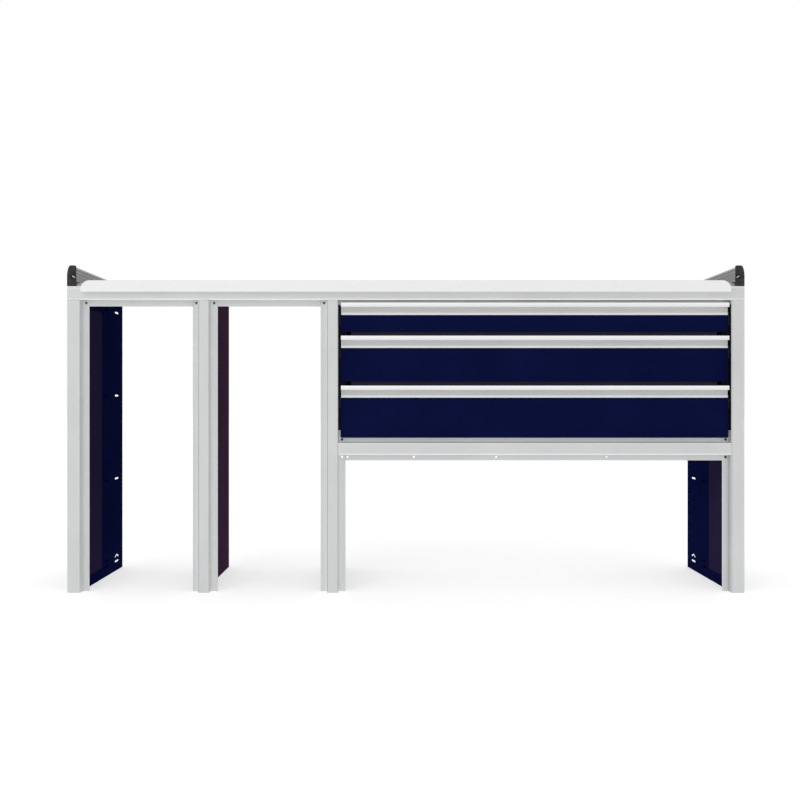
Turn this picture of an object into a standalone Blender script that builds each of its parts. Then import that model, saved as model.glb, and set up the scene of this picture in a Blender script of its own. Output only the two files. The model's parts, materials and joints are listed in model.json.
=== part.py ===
"""Workbench with drawers: an aluminium profile frame with sheet sides, a white top and three wide drawers.

Metres, +Z up.  The front faces -Y.  The origin is on the floor at the middle of the whole object.
"depth" is measured back from the front face of the frame, and place() turns it into Y.
"""
import math

import bmesh
import bpy
from mathutils import Vector

MM = 0.001

# ---- driving dimensions, in millimetres ----
GAP = 0.3
HALF_WIDTH = 1017.2
DEPTH = 400.0
WORKTOP_OVERHANG = 20.0
FRONT_Y = (WORKTOP_OVERHANG - DEPTH) / 2

POST_TOP = 879.0
RAIL_TOP = 921.0
WORKTOP_TOP = 936.0
POST_CENTRES = (-607.0, -220.0)
POST_HALF = 16.5
POST_DEPTH = 34.0
END_BOX_INNER = 977.5
FLANGE_REACH = 21.2
END_FLANGE_TIP = 958.1
FLANGE_DEPTH = 22.0
FLANGE_T = 2.5
LUG_BACK = 27.3
WALL = 2.0
ROOT_GROOVE = 1.2

TOP_FLANGE_Z = 862.5
LOWER_RAIL_Z = 432.0
LOWER_RAIL_HALF = 18.0
LOWER_FLANGE_HALF = 36.0
REAR_RAIL_DEPTH = 34.0
REAR_RAIL_BOTTOM = 905.0
REAR_PANEL_BOTTOM = 415.0
REAR_PANEL_LIP = 36.0
CHANNEL_T = 2.0

SHEET = 1.2
PANEL_INNER = 981.0
PANEL_TOP = 904.5
PANEL_FRONT = POST_DEPTH + 0.5
COVER_INNER = HALF_WIDTH - SHEET
MIDDLE_SHEET_X = (POST_CENTRES[0] - 4.0, POST_CENTRES[1] - 4.0)
MIDDLE_RETURN = 28.0
SLOT_LEVELS = (32.0, 313.0, 594.0, 875.0)
SLOT_DEPTHS = (240.0, 340.0)
SLOT_LENGTH = 36.0
SLOT_HEIGHT = 6.0
CHEVRON_RISE = 25.0
CHEVRON_DROP = 8.0
PANEL_HOLE = (290.0, 21.0)
PANEL_HOLE_R = 2.5

SCREW_Z = 872.4
SCREW_INSET = 10.8
SCREW_R = 2.2
HOLE_R = 2.6
HEAD_R = 3.4
LOWER_HOLE_Z = 406.5
UPPER_HOLE_Z = 459.8
RAIL_HOLES_X = (-176.6, 24.7, 274.3, 608.7)

GALLERY_WIDTH = 26.5
GALLERY_HEIGHT = 62.0
GALLERY_BASE_IN = 46.2
GALLERY_BASE_T = 9.0
CAP_T = 6.0
CAP_SCREW_U = 17.5
CAP_SCREW_Z = 27.0

WORKTOP_HALF = 970.0
WORKTOP_RADIUS = 27.0
LIP_BOTTOM = 902.0

BAY_LEFT = POST_CENTRES[1] + POST_HALF
BAY_RIGHT = END_BOX_INNER
CARRIER_T = 1.5
CARRIER_BOTTOM = 488.0
CARRIER_TOP = 866.0
CARRIER_SIDE_TOP = 861.5
CARRIER_LIP_DEPTH = 20.0
CARRIER_BACK = 385.0
CARRIER_X = (POST_CENTRES[1] + POST_HALF + FLANGE_REACH + GAP, END_FLANGE_TIP - GAP)

DRAWER_X = 388.3
HANDLE_HALF = 583.0
FRONT_HALF = 585.0
HANDLE_HEIGHT = 36.5
HANDLE_DEPTH = 17.7
FRONT_FACE = 14.0
FRONT_BACK = 19.2
RUNNER_WIDTH = 13.0
RUNNER_FRONT = 24.0
RUNNER_LENGTH = 345.0
BOX_FRONT = 19.5
BOX_BACK = 366.0
BOX_T = 1.2
LATCH_BLOCK_T = 3.4
LATCH_BLOCK_HEIGHT = 30.0
# each drawer: handle top, front bottom, box bottom, box top, runner centre
DRAWERS = (
    (872.0, 784.5, 794.0, 850.0, 823.0),
    (772.5, 634.5, 644.0, 750.0, 684.0),
    (622.5, 465.0, 475.0, 600.0, 520.0),
)


def place(x, depth, z):
    """A point in metres from X, depth behind the frame's front, and height, all in millimetres."""
    return Vector((x * MM, (FRONT_Y + depth) * MM, z * MM))


# ---- materials ----
def material(name, colour, roughness, metallic):
    mat = bpy.data.materials.get(name) or bpy.data.materials.new(name)
    mat.use_nodes = True
    shader = mat.node_tree.nodes["Principled BSDF"]
    shader.inputs["Base Color"].default_value = (*colour, 1.0)
    shader.inputs["Roughness"].default_value = roughness
    shader.inputs["Metallic"].default_value = metallic
    mat.diffuse_color = (*colour, 1.0)
    return mat


FINISHES = {
    "anodised": ((0.62, 0.63, 0.63), 0.38, 0.9),
    "gallery_aluminium": ((0.33, 0.34, 0.34), 0.4, 0.9),
    "navy_sheet": ((0.004, 0.006, 0.035), 0.45, 0.0),
    "divider_sheet": ((0.026, 0.015, 0.031), 0.45, 0.0),
    "worktop_white": ((0.82, 0.82, 0.81), 0.4, 0.0),
    "black_plastic": ((0.02, 0.02, 0.02), 0.45, 0.0),
    "black_steel": ((0.01, 0.01, 0.014), 0.5, 0.0),
    "zinc_steel": ((0.5, 0.5, 0.52), 0.35, 0.9),
    "tray_grey": ((0.35, 0.36, 0.38), 0.5, 0.0),
    "label_clear": ((0.6, 0.6, 0.6), 0.15, 0.0),
    "screw_black": ((0.02, 0.02, 0.022), 0.35, 0.6),
}


# ---- mesh helpers ----
def make_object(name, bm, finish, smooth=False):
    bmesh.ops.recalc_face_normals(bm, faces=bm.faces)
    mesh = bpy.data.meshes.new(name)
    bm.to_mesh(mesh)
    bm.free()
    if smooth:
        mesh.shade_smooth()
        mesh.set_sharp_from_angle(angle=math.radians(30))
    obj = bpy.data.objects.new(name, mesh)
    bpy.context.scene.collection.objects.link(obj)
    colour, roughness, metallic = FINISHES[finish]
    mesh.materials.append(material(finish, colour, roughness, metallic))
    return obj


def to_point(axis, u, v, along):
    """Profile coordinates (u, v) and a distance along the axis, as a point in metres."""
    if axis == "X":
        return place(along, u, v)
    if axis == "Y":
        return place(u, along, v)
    return place(u, v, along)


def add_prism(bm, axis, outline, start, end, hole=None):
    """A profile, with one hollow if given, drawn out along X, Y (depth) or Z."""
    edges = []
    for loop in (outline, hole) if hole else (outline,):
        verts = [bm.verts.new(to_point(axis, u, v, start)) for u, v in loop]
        edges += [bm.edges.new((verts[i - 1], verts[i])) for i in range(len(verts))]
    filled = bmesh.ops.triangle_fill(bm, use_beauty=True, use_dissolve=False, edges=edges)
    faces = [item for item in filled["geom"] if isinstance(item, bmesh.types.BMFace)]
    grown = bmesh.ops.extrude_face_region(bm, geom=faces)
    moved = [item for item in grown["geom"] if isinstance(item, bmesh.types.BMVert)]
    shift = to_point(axis, 0, 0, end) - to_point(axis, 0, 0, start)
    bmesh.ops.translate(bm, verts=moved, vec=shift)
    return bm


def add_box(bm, x0, x1, d0, d1, z0, z1):
    outline = [(x0, d0), (x1, d0), (x1, d1), (x0, d1)]
    return add_prism(bm, "Z", outline, z0, z1)


def ring(centre_u, centre_v, radius_u, radius_v, first, last, count):
    """Points along an ellipse from one angle to another, in degrees, both ends included."""
    points = []
    for i in range(count + 1):
        angle = math.radians(first + (last - first) * i / count)
        points.append((centre_u + radius_u * math.cos(angle), centre_v + radius_v * math.sin(angle)))
    return points


def disc(centre_u, centre_v, radius, sides=10):
    return ring(centre_u, centre_v, radius, radius, 0, 360 * (1 - 1 / sides), sides - 1)


def mirror_x(points, centre=0.0):
    return [(2 * centre - u, v) for u, v in points]


def cut(obj, bm):
    """Cuts the closed bodies of bm out of obj."""
    cutter = make_object(obj.name + "_cutter", bm, "black_steel")
    cutter.hide_render = True
    cutter.display_type = "WIRE"
    modifier = obj.modifiers.new("cut", "BOOLEAN")
    modifier.operation = "DIFFERENCE"
    modifier.solver = "EXACT"
    modifier.object = cutter


# ---- frame profiles ----
def middle_post_outline(centre):
    """Plan of a middle post: a proud box with a thin recessed flange on each side."""
    half = [
        (POST_HALF - 1.0, 0), (POST_HALF, 1.0), (POST_HALF, FLANGE_DEPTH + ROOT_GROOVE),
        (POST_HALF + ROOT_GROOVE, FLANGE_DEPTH + ROOT_GROOVE), (POST_HALF + ROOT_GROOVE, FLANGE_DEPTH),
        (POST_HALF + FLANGE_REACH - 0.8, FLANGE_DEPTH), (POST_HALF + FLANGE_REACH, FLANGE_DEPTH + 0.8),
        (POST_HALF + FLANGE_REACH, FLANGE_DEPTH + FLANGE_T), (POST_HALF, FLANGE_DEPTH + FLANGE_T),
        (POST_HALF, POST_DEPTH),
    ]
    right = [(centre + u, v) for u, v in half]
    left = [(centre - u, v) for u, v in reversed(half)]
    return right + left


def middle_post_hollow(centre):
    inner = POST_HALF - WALL
    return [(centre - inner, WALL), (centre + inner, WALL),
            (centre + inner, POST_DEPTH - WALL), (centre - inner, POST_DEPTH - WALL)]


def end_post_outline():
    """Plan of the right end post: a box flush with the outside, and one flange inwards."""
    line = HALF_WIDTH - 4.0
    return [
        (END_BOX_INNER, POST_DEPTH), (END_BOX_INNER, FLANGE_DEPTH + FLANGE_T),
        (END_FLANGE_TIP, FLANGE_DEPTH + FLANGE_T), (END_FLANGE_TIP, FLANGE_DEPTH + 0.8),
        (END_FLANGE_TIP + 0.8, FLANGE_DEPTH), (END_BOX_INNER - ROOT_GROOVE, FLANGE_DEPTH),
        (END_BOX_INNER - ROOT_GROOVE, FLANGE_DEPTH + ROOT_GROOVE),
        (END_BOX_INNER, FLANGE_DEPTH + ROOT_GROOVE), (END_BOX_INNER, 1.0), (END_BOX_INNER + 1.0, 0),
        (line - 1.0, 0), (line - 0.5, 0.8), (line, 0),
        (HALF_WIDTH - 1.0, 0), (HALF_WIDTH, 1.0), (HALF_WIDTH, POST_DEPTH),
    ]


def end_post_hollow():
    return [(END_BOX_INNER + WALL, WALL), (HALF_WIDTH - WALL, WALL),
            (HALF_WIDTH - WALL, POST_DEPTH - WALL), (END_BOX_INNER + WALL, POST_DEPTH - WALL)]


def add_hole_cutters(bm, places):
    """Round cutters through the flanges and the lugs behind them, at (X, Z) points."""
    for x, z in places:
        add_prism(bm, "Y", disc(x, z, HOLE_R), FLANGE_DEPTH - 2, LUG_BACK + 2)
    return bm


def corner_screw_places():
    """X of each screw hole in the upper corners, from left to right."""
    places = [-END_BOX_INNER + SCREW_INSET, END_BOX_INNER - SCREW_INSET]
    for centre in POST_CENTRES:
        places += [centre - POST_HALF - SCREW_INSET, centre + POST_HALF + SCREW_INSET]
    return sorted(places)


def make_posts():
    left, middle = POST_CENTRES
    profiles = (
        (mirror_x(end_post_outline()), mirror_x(end_post_hollow()), ()),
        (middle_post_outline(left), middle_post_hollow(left), ()),
        (middle_post_outline(middle), middle_post_hollow(middle), (BAY_LEFT + SCREW_INSET,)),
        (end_post_outline(), end_post_hollow(), (BAY_RIGHT - SCREW_INSET,)),
    )
    tops = corner_screw_places()
    owners = (tops[:1], tops[1:3], tops[3:5], tops[5:])
    for number, ((outline, hollow, lower), upper) in enumerate(zip(profiles, owners), 1):
        bm = add_prism(bmesh.new(), "Z", outline, 0, POST_TOP, hollow)
        post = make_object("front_post_%d" % number, bm, "anodised")
        holes = [(x, SCREW_Z) for x in upper] + [(x, z) for x in lower for z in (LOWER_HOLE_Z, UPPER_HOLE_Z)]
        cut(post, add_hole_cutters(bmesh.new(), holes))


def make_top_front_rail():
    """A box section with a rounded lower front edge, and a thin flange that hangs behind it."""
    base = POST_TOP + GAP
    outline = [
        *ring(3.0, base + 3.0, 3.0, 3.0, 180, 270, 3), (FLANGE_DEPTH, base),
        (FLANGE_DEPTH, TOP_FLANGE_Z + 0.8),
        (FLANGE_DEPTH + 0.8, TOP_FLANGE_Z), (LUG_BACK, TOP_FLANGE_Z), (LUG_BACK, base), (POST_DEPTH, base),
        (POST_DEPTH, RAIL_TOP), (1.6, RAIL_TOP), (1.6, RAIL_TOP - 3.0), (2.6, RAIL_TOP - 3.6),
        (2.6, RAIL_TOP - 4.8), (1.6, RAIL_TOP - 5.4), (0, RAIL_TOP - 13.0),
    ]
    hollow = [(2 * WALL, base + WALL), (POST_DEPTH - WALL, base + WALL),
              (POST_DEPTH - WALL, RAIL_TOP - WALL), (2 * WALL, RAIL_TOP - WALL)]
    bm = add_prism(bmesh.new(), "X", outline, -HALF_WIDTH, HALF_WIDTH, hollow)
    rail = make_object("top_front_rail", bm, "anodised")
    lug_front = FLANGE_DEPTH + FLANGE_T + GAP
    flanges = [(-HALF_WIDTH - 2, GAP - END_FLANGE_TIP), (END_FLANGE_TIP - GAP, HALF_WIDTH + 2)]
    boxes = [(-HALF_WIDTH - 2, GAP - END_BOX_INNER), (END_BOX_INNER - GAP, HALF_WIDTH + 2)]
    for centre in POST_CENTRES:
        reach = POST_HALF + FLANGE_REACH + GAP
        flanges.append((centre - reach, centre + reach))
        boxes.append((centre - POST_HALF - GAP, centre + POST_HALF + GAP))
    rebates = bmesh.new()
    for x0, x1 in flanges:
        add_box(rebates, x0, x1, FLANGE_DEPTH - 1, lug_front, TOP_FLANGE_Z - 2, base)
    cut(rail, rebates)
    passages = bmesh.new()
    for x0, x1 in boxes:
        add_box(passages, x0, x1, FLANGE_DEPTH - 2, POST_DEPTH - 3, TOP_FLANGE_Z - 3, base)
    cut(rail, passages)
    cut(rail, add_hole_cutters(bmesh.new(), [(x, SCREW_Z) for x in corner_screw_places()]))


def make_lower_front_rail():
    """The rail under the drawers.  Its box runs between the post boxes, its flanges between the flanges."""
    low = LOWER_RAIL_Z - LOWER_RAIL_HALF
    high = LOWER_RAIL_Z + LOWER_RAIL_HALF
    foot = LOWER_RAIL_Z - LOWER_FLANGE_HALF
    head = LOWER_RAIL_Z + LOWER_FLANGE_HALF
    outline = [
        *ring(3.0, low + 3.0, 3.0, 3.0, 180, 270, 3), (FLANGE_DEPTH, low), (FLANGE_DEPTH, foot + 0.8),
        (FLANGE_DEPTH + 0.8, foot), (LUG_BACK, foot), (LUG_BACK, low), (POST_DEPTH, low), (POST_DEPTH, high),
        (LUG_BACK, high), (LUG_BACK, head), (FLANGE_DEPTH + 0.8, head), (FLANGE_DEPTH, head - 0.8),
        (FLANGE_DEPTH, high + ROOT_GROOVE), (FLANGE_DEPTH + ROOT_GROOVE, high + ROOT_GROOVE),
        (FLANGE_DEPTH + ROOT_GROOVE, high), (1.0, high), (0, high - 1.0),
    ]
    hollow = [(2 * WALL, low + WALL), (POST_DEPTH - WALL, low + WALL),
              (POST_DEPTH - WALL, high - WALL), (2 * WALL, high - WALL)]
    bm = add_prism(bmesh.new(), "X", outline, BAY_LEFT + GAP, BAY_RIGHT - GAP, hollow)
    rail = make_object("lower_front_rail", bm, "anodised")
    trims = bmesh.new()
    left_tip = BAY_LEFT + FLANGE_REACH + GAP
    right_tip = END_FLANGE_TIP - GAP
    lug_front = FLANGE_DEPTH + FLANGE_T + GAP
    for x0, x1 in ((BAY_LEFT - 2, left_tip), (right_tip, BAY_RIGHT + 2)):
        add_box(trims, x0, x1, FLANGE_DEPTH - GAP, lug_front, foot - 2, head + 2)
    cut(rail, trims)
    ends = (BAY_LEFT + SCREW_INSET, BAY_RIGHT - SCREW_INSET)
    places = [(x, LOWER_HOLE_Z) for x in (*RAIL_HOLES_X, *ends)] + [(x, UPPER_HOLE_Z) for x in ends]
    cut(rail, add_hole_cutters(bmesh.new(), places))


def make_top_rear_rail():
    """A channel open to the front, along the back under the worktop."""
    front = DEPTH - REAR_RAIL_DEPTH
    web = DEPTH - CHANNEL_T
    outline = [(front, REAR_RAIL_BOTTOM), (DEPTH, REAR_RAIL_BOTTOM), (DEPTH, RAIL_TOP), (front, RAIL_TOP),
               (front, RAIL_TOP - CHANNEL_T), (web, RAIL_TOP - CHANNEL_T),
               (web, REAR_RAIL_BOTTOM + CHANNEL_T), (front, REAR_RAIL_BOTTOM + CHANNEL_T)]
    reach = COVER_INNER - GAP
    make_object("top_rear_rail", add_prism(bmesh.new(), "X", outline, -reach, reach), "anodised")


def make_rear_panel():
    """The back of the drawer bay: a sheet whose lower edge is folded forward and up into a channel."""
    fold = DEPTH - REAR_RAIL_DEPTH
    low = REAR_PANEL_BOTTOM
    lip = low + REAR_PANEL_LIP
    outline = [(fold, low), (DEPTH, low), (DEPTH, PANEL_TOP), (DEPTH - SHEET, PANEL_TOP),
               (DEPTH - SHEET, low + SHEET), (fold + SHEET, low + SHEET), (fold + SHEET, lip), (fold, lip)]
    bm = add_prism(bmesh.new(), "X", outline, MIDDLE_SHEET_X[1] + GAP, PANEL_INNER - GAP)
    make_object("rear_panel", bm, "navy_sheet")


# ---- sides ----
def slot_cutters(x0, x1):
    """The mounting slots of an end side, with a small chevron over each lowest one."""
    bm = bmesh.new()
    half = SLOT_LENGTH / 2
    radius = SLOT_HEIGHT / 2
    for depth in SLOT_DEPTHS:
        for z in SLOT_LEVELS:
            outline = ring(depth + half - radius, z, radius, radius, -90, 90, 4)
            outline += ring(depth - half + radius, z, radius, radius, 90, 270, 4)
            add_prism(bm, "X", outline, x0, x1)
        peak = SLOT_LEVELS[0] + CHEVRON_RISE
        low = peak - CHEVRON_DROP
        chevron = [(depth, peak), (depth + half, low), (depth + half, low - SLOT_HEIGHT),
                   (depth, peak - SLOT_HEIGHT), (depth - half, low - SLOT_HEIGHT), (depth - half, low)]
        add_prism(bm, "X", chevron, x0, x1)
    return add_prism(bm, "X", disc(*PANEL_HOLE, PANEL_HOLE_R), x0, x1)


def make_end_sides():
    """Each end side is a folded tray, open outwards and at the back, and a flat outer cover."""
    for side, number, word in ((-1, 1, "left"), (1, 4, "right")):
        edges = sorted((side * PANEL_INNER, side * (COVER_INNER - GAP)))
        tray = make_object("side_panel_%d" % number,
                           add_box(bmesh.new(), *edges, PANEL_FRONT, DEPTH, 0, PANEL_TOP), "navy_sheet")
        hollow = bmesh.new()
        inside = sorted((side * (PANEL_INNER + SHEET), side * (HALF_WIDTH + 5)))
        add_box(hollow, *inside, PANEL_FRONT + SHEET, DEPTH + 5, SHEET, PANEL_TOP - SHEET)
        cut(tray, hollow)
        skin = sorted((side * (PANEL_INNER - 1), side * (PANEL_INNER + SHEET + 1)))
        cut(tray, slot_cutters(*skin))
        cover = sorted((side * COVER_INNER, side * HALF_WIDTH))
        bm = add_box(bmesh.new(), *cover, PANEL_FRONT, DEPTH, 0, RAIL_TOP - GAP)
        make_object("outer_cover_" + word, bm, "navy_sheet")


def make_middle_sides():
    """Each middle side is one sheet with a return to the left at the front and at the back."""
    for number, right in enumerate(MIDDLE_SHEET_X, 2):
        left = right - SHEET
        back = right - MIDDLE_RETURN
        outline = [(right, PANEL_FRONT), (right, DEPTH), (back, DEPTH), (back, DEPTH - SHEET),
                   (left, DEPTH - SHEET), (left, PANEL_FRONT + SHEET), (back, PANEL_FRONT + SHEET),
                   (back, PANEL_FRONT)]
        bm = add_prism(bmesh.new(), "Z", outline, 0, PANEL_TOP)
        make_object("side_panel_%d" % number, bm, "divider_sheet")


# ---- fasteners of the frame ----
def add_screw(bm, x, z, face, length):
    """A pan head on a face that looks to the front, with its shank behind it."""
    head = disc(x, z, HEAD_R, 12)
    shank = disc(x, z, SCREW_R, 12)
    loops = ((shank, face + length), (shank, face - GAP), (head, face - GAP), (head, face - 1.4),
             (disc(x, z, HEAD_R * 0.6, 12), face - 2.2))
    rings = [[bm.verts.new(place(u, depth, v)) for u, v in points] for points, depth in loops]
    for low, high in zip(rings, rings[1:]):
        for i in range(len(low)):
            bm.faces.new((low[i - 1], low[i], high[i], high[i - 1]))
    bm.faces.new(rings[0])
    bm.faces.new(rings[-1])


def make_corner_screws():
    """Screws in the four upper corners of the open bays."""
    for number, x in enumerate(corner_screw_places()[:4], 1):
        bm = bmesh.new()
        add_screw(bm, x, SCREW_Z, FLANGE_DEPTH, 6.0)
        make_object("corner_screw_%d" % number, bm, "screw_black", smooth=True)


# ---- top ----
def make_worktop():
    """A board whose upper side edges are rounded; its front lip hangs in front of the rail."""
    centre = WORKTOP_HALF - WORKTOP_RADIUS
    arc = ring(centre, WORKTOP_TOP - WORKTOP_RADIUS, WORKTOP_RADIUS, WORKTOP_RADIUS, 0, 90, 8)
    half = [(WORKTOP_HALF - 1.0, LIP_BOTTOM), (WORKTOP_HALF, LIP_BOTTOM + 1.0), *arc]
    outline = half + list(reversed(mirror_x(half)))
    bm = add_prism(bmesh.new(), "Y", outline, -WORKTOP_OVERHANG, DEPTH)
    front = (FRONT_Y - WORKTOP_OVERHANG) * MM
    rim = [e for e in bm.edges if len(e.link_faces) == 2
           and all(abs(v.co.y - front) < 1e-6 for v in e.verts) and e.calc_face_angle(0) > 0.5]
    bmesh.ops.bevel(bm, geom=rim, offset=2.5 * MM, segments=2, profile=0.5, affect="EDGES")
    worktop = make_object("worktop", bm, "worktop_white")
    rebate = add_box(bmesh.new(), -HALF_WIDTH, HALF_WIDTH, -GAP, DEPTH + 5, LIP_BOTTOM - 5, RAIL_TOP + GAP)
    cut(worktop, rebate)


def gallery_outline(side, ribbed):
    """Section of a gallery rail: curved outside, fine ribs and a hollow face inside, a base flange."""
    base = RAIL_TOP + GAP
    crown = GALLERY_HEIGHT
    outer = [(0, 0), *ring(10.5, crown - 34.0, 10.5, 34.0, 180, 90, 7)]
    if ribbed:
        inner = [(14.0, crown - 0.8), (20.0, crown - 3.2), (24.6, crown - 5.8), (25.4, crown - 7.0),
                 (25.4, 50.2), (23.4, 49.2), (23.4, 44.6), (25.4, 43.8), (25.4, 41.0), (23.4, 40.0),
                 (23.4, 36.2), (24.8, 35.0), (22.8, 27.0), (22.8, 19.0), (25.2, 14.2), (25.2, 13.2),
                 (17.0, 13.2), (17.0, GALLERY_BASE_T),
                 (GALLERY_BASE_IN - 1, GALLERY_BASE_T),
                 (GALLERY_BASE_IN, GALLERY_BASE_T - 1), (GALLERY_BASE_IN, 0)]
    else:
        inner = [(23.0, crown), (25.6, crown - 1.0), (GALLERY_WIDTH, 58.5), (GALLERY_WIDTH, 0)]
    return [(side * (HALF_WIDTH - u), base + z) for u, z in outer + inner]


def make_gallery():
    for side, word in ((-1, "left"), (1, "right")):
        base = RAIL_TOP + GAP
        chamber = ((3, 3), (14, 3), (14, 17), (20, 20), (20, 43), (18, 54), (11, 56), (8, 50), (3, 28))
        hollow = [(side * (HALF_WIDTH - u), base + z) for u, z in chamber]
        ends = (CAP_T + GAP, DEPTH - CAP_T - GAP)
        bm = add_prism(bmesh.new(), "Y", gallery_outline(side, True), *ends, hollow)
        make_object("gallery_rail_" + word, bm, "gallery_aluminium")
        for end, face, back in (("front", 0.0, CAP_T), ("rear", DEPTH, DEPTH - CAP_T)):
            thickness = sorted((face, back))
            cap_bm = add_prism(bmesh.new(), "Y", gallery_outline(side, False), *thickness)
            rim_y = (FRONT_Y + face) * MM
            rim = [e for e in cap_bm.edges if e.calc_face_angle(0) > 0.5
                   and all(abs(v.co.y - rim_y) < 1e-6 for v in e.verts)
                   and max(v.co.z for v in e.verts) > (base + 1) * MM]
            bmesh.ops.bevel(cap_bm, geom=rim, offset=MM, segments=2, profile=0.5, affect="EDGES")
            cap = make_object("gallery_cap_%s_%s" % (end, word), cap_bm, "black_plastic")
            inward = 1 if end == "front" else -1
            x = side * (HALF_WIDTH - CAP_SCREW_U)
            z = base + CAP_SCREW_Z
            recess = bmesh.new()
            span = sorted((face - inward, face + inward * 3.0))
            add_prism(recess, "Y", disc(x, z, 6.5, 16), *span)
            cut(cap, recess)


# ---- drawer bay ----
def make_carriers():
    """Upright plates that hold the runners; a front lip closes the gap beside the drawer fronts."""
    sides = (("left", 1, CARRIER_X[0], BAY_LEFT), ("right", -1, CARRIER_X[1], BAY_RIGHT))
    for word, side, plate, wall in sides:
        lip = wall + side * 1.0
        inner = plate + side * CARRIER_T
        outline = [(lip, CARRIER_LIP_DEPTH), (inner, CARRIER_LIP_DEPTH), (inner, CARRIER_BACK),
                   (plate, CARRIER_BACK), (plate, CARRIER_LIP_DEPTH + CARRIER_T),
                   (lip, CARRIER_LIP_DEPTH + CARRIER_T)]
        bm = add_prism(bmesh.new(), "Z", outline, CARRIER_BOTTOM, CARRIER_TOP)
        carrier = make_object("runner_carrier_" + word, bm, "black_steel")
        span = sorted((plate - side * GAP / 2, inner + side * 2))
        notch = add_box(bmesh.new(), *span, CARRIER_LIP_DEPTH + CARRIER_T, CARRIER_BACK + 2,
                        CARRIER_SIDE_TOP, CARRIER_TOP + 2)
        cut(carrier, notch)


def runner_section(kind):
    """(distance from the carrier, height) outlines of the three nested members."""
    if kind == "fixed":
        back, lip, half = 0.3, 11.0, 22.0
    elif kind == "middle":
        back, lip, half = 3.0, 10.4, 18.6
    else:
        t = 1.2
        return [(12.7, -15.6), (12.7, 15.6), (5.6, 15.6), (5.6, 15.6 - t), (12.7 - t, 15.6 - t),
                (12.7 - t, t - 15.6), (5.6, t - 15.6), (5.6, -15.6)]
    t = 1.2
    return [(back, -half), (lip, -half), (lip, t - half), (back + t, t - half), (back + t, half - t),
            (lip, half - t), (lip, half), (back, half)]


def make_runners(number, height):
    """The fixed, middle and drawer members of a drawer's two telescopic runners."""
    sides = (("left", 1, CARRIER_X[0] + CARRIER_T), ("right", -1, CARRIER_X[1] - CARRIER_T))
    for word, side, plate in sides:
        for kind in ("fixed", "middle", "drawer"):
            outline = [(plate + side * u, height + v) for u, v in runner_section(kind)]
            bm = add_prism(bmesh.new(), "Y", outline, RUNNER_FRONT, RUNNER_FRONT + RUNNER_LENGTH)
            make_object("drawer_%d_%s_runner_%s" % (number, kind, word), bm, "zinc_steel")


def make_tray(number, low, high):
    """The folded steel drawer box, open at the top."""
    x0 = CARRIER_X[0] + CARRIER_T + RUNNER_WIDTH
    x1 = CARRIER_X[1] - CARRIER_T - RUNNER_WIDTH
    bm = add_box(bmesh.new(), x0, x1, BOX_FRONT, BOX_BACK, low, high)
    tray = make_object("drawer_%d_box" % number, bm, "tray_grey")
    inside = add_box(bmesh.new(), x0 + BOX_T, x1 - BOX_T, BOX_FRONT + BOX_T, BOX_BACK - BOX_T,
                     low + BOX_T, high + 5)
    cut(tray, inside)


def make_front(number, top, bottom):
    """The navy front: a folded hollow face under the handle, and a back plate that runs up behind it."""
    under = top - HANDLE_HEIGHT - GAP
    outline = [(FRONT_FACE, bottom), (FRONT_BACK, bottom), (FRONT_BACK, top - 3),
               (HANDLE_DEPTH + GAP, top - 3), (HANDLE_DEPTH + GAP, under), (FRONT_FACE, under)]
    hollow = [(FRONT_FACE + SHEET, bottom + 7), (FRONT_BACK - SHEET, bottom + 7),
              (FRONT_BACK - SHEET, under - SHEET), (FRONT_FACE + SHEET, under - SHEET)]
    bm = add_prism(bmesh.new(), "X", outline, DRAWER_X - FRONT_HALF, DRAWER_X + FRONT_HALF, hollow)
    corner = [e for e in bm.edges if all(abs(v.co.z - bottom * MM) < 1e-6 for v in e.verts)
              and abs(e.verts[0].co.x - e.verts[1].co.x) < 1e-6]
    bmesh.ops.bevel(bm, geom=corner, offset=4 * MM, segments=3, profile=0.5, affect="EDGES")
    make_object("drawer_%d_front" % number, bm, "navy_sheet")


def make_handle(number, top):
    """The handle extrusion: a proud hollow nose, a label recess under it and a small lower lip."""
    section = [
        *ring(2.0, -2.0, 2.0, 2.0, 180, 90, 3), (HANDLE_DEPTH, 0), (HANDLE_DEPTH, -HANDLE_HEIGHT),
        (12.8, -HANDLE_HEIGHT), (12.0, 0.8 - HANDLE_HEIGHT), (12.0, -29.5), (12.8, -28.7), (14.4, -28.7),
        (14.4, -15.0), (12.6, -13.5), (2.0, -13.5), (0.6, -12.9), (0, -11.5),
    ]
    outline = [(u, top + v) for u, v in section]
    hollow = [(2.0, top - 11.5), (15.6, top - 11.5), (15.6, top - 2.0), (2.0, top - 2.0)]
    bm = add_prism(bmesh.new(), "X", outline, DRAWER_X - HANDLE_HALF, DRAWER_X + HANDLE_HALF, hollow)
    make_object("drawer_%d_handle" % number, bm, "anodised")
    label = [(13.0, top - 27.6), (14.1, top - 27.6), (14.1, top - 16.5), (13.6, top - 16.5)]
    bm = add_prism(bmesh.new(), "X", label, DRAWER_X - HANDLE_HALF + 3, DRAWER_X + HANDLE_HALF - 3)
    make_object("drawer_%d_label" % number, bm, "label_clear")


def make_latch_bar(number, top):
    """A plastic bar inside the hollow front, with a block at each end that fills the gap to the post."""
    high = top - HANDLE_HEIGHT - GAP
    slim = (FRONT_FACE + SHEET + GAP, FRONT_BACK - SHEET - GAP)
    end = FRONT_HALF + GAP
    tip = end + LATCH_BLOCK_T
    half = [(end, slim[0]), (end, FRONT_FACE), (tip, FRONT_FACE + 1), (tip, FRONT_BACK), (end, FRONT_BACK),
            (end, slim[1])]
    outline = [(DRAWER_X + u, v) for u, v in half] + [(DRAWER_X - u, v) for u, v in reversed(half)]
    bm = add_prism(bmesh.new(), "Z", outline, high - LATCH_BLOCK_HEIGHT, high - SHEET - GAP)
    make_object("drawer_%d_latch_bar" % number, bm, "black_plastic")


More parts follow.
